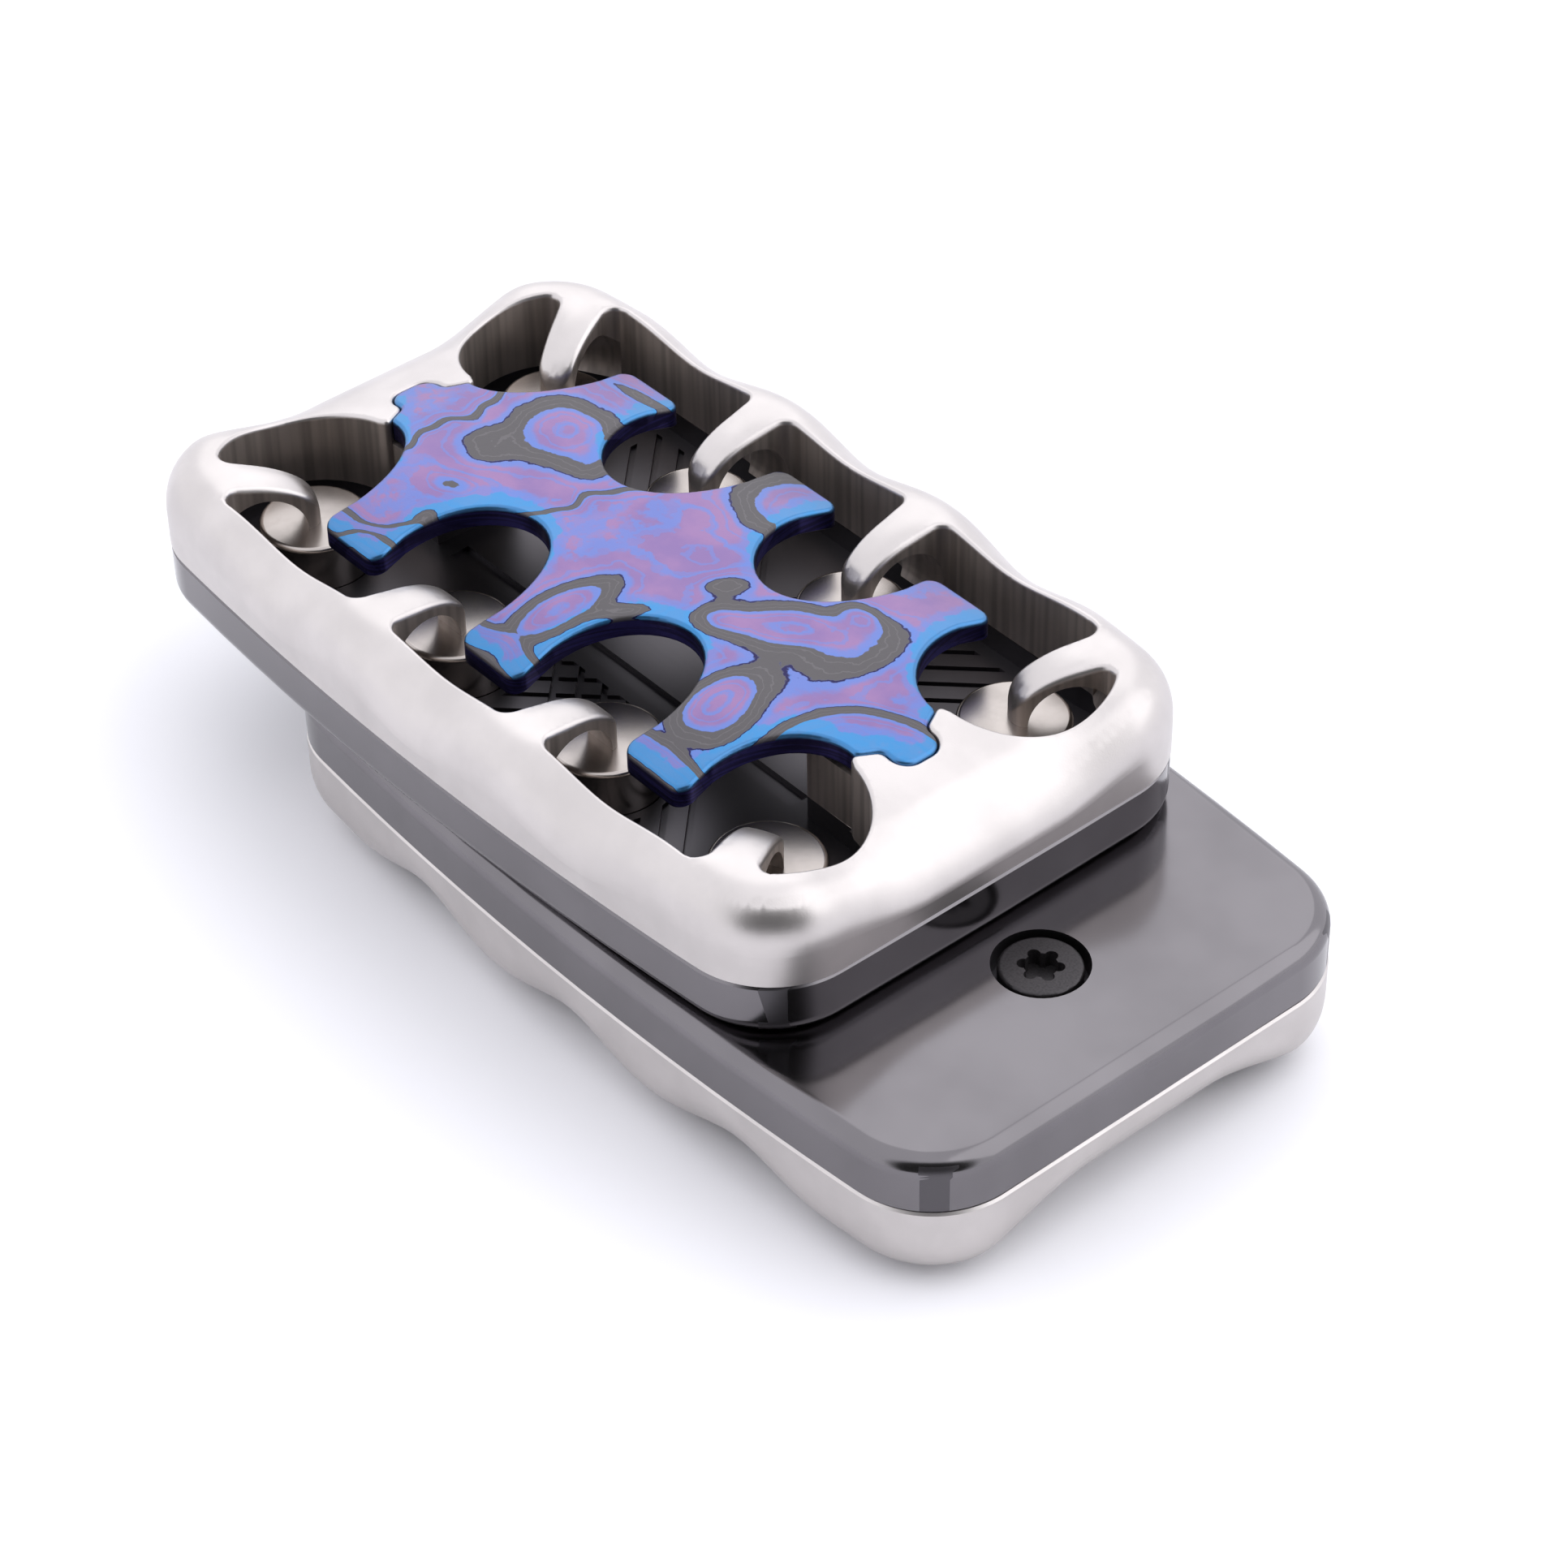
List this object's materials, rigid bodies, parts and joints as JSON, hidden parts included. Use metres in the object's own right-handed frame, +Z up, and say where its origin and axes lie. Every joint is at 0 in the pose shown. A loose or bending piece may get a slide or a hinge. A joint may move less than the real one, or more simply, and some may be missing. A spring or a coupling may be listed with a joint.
{
  "type": "magnetic slider",
  "caption": "Pocket magnetic slider: two openwork metal halves with layered inlays glide face to face, held together by rows of disc magnets.",
  "frame": {"origin": "bottom centre of the whole object at rest: on the surface it stands on, midway between the two halves", "axes": "+X along the slide, +Y across the halves, +Z up from the lower half to the upper half"},
  "size_m": [0.0636, 0.032, 0.017],
  "materials": {
    "bead_blasted_titanium": "satin, fine bead blast",
    "dark_plate": "dark oxidised metal, polished",
    "layered_anodised_titanium": "etched and anodised layered metal, violet to blue with bare grey layers",
    "nickel_plate": "bright nickel plating",
    "black_screw": "black, satin"
  },
  "bodies": {
    "lower_half": {"lower_base_plate": "dark_plate", "lower_shell": "bead_blasted_titanium", "lower_inlay": "layered_anodised_titanium", "lower_magnet_near_1": "nickel_plate", "lower_magnet_near_2": "nickel_plate", "lower_magnet_near_3": "nickel_plate", "lower_magnet_near_4": "nickel_plate", "lower_magnet_far_1": "nickel_plate", "lower_magnet_far_2": "nickel_plate", "lower_magnet_far_3": "nickel_plate", "lower_magnet_far_4": "nickel_plate", "lower_screw_left": "black_screw", "lower_screw_right": "black_screw"},
    "upper_half": {"upper_base_plate": "dark_plate", "upper_shell": "bead_blasted_titanium", "upper_inlay": "layered_anodised_titanium", "upper_magnet_near_1": "nickel_plate", "upper_magnet_near_2": "nickel_plate", "upper_magnet_near_3": "nickel_plate", "upper_magnet_near_4": "nickel_plate", "upper_magnet_far_1": "nickel_plate", "upper_magnet_far_2": "nickel_plate", "upper_magnet_far_3": "nickel_plate", "upper_magnet_far_4": "nickel_plate", "upper_screw_left": "black_screw", "upper_screw_right": "black_screw"}
  },
  "joints": [
    {"name": "half_slide", "type": "slide", "parent": "lower_half", "child": "upper_half", "axis": [1, 0, 0], "range_m": [-0.0133, 0.0363]}
  ]
}
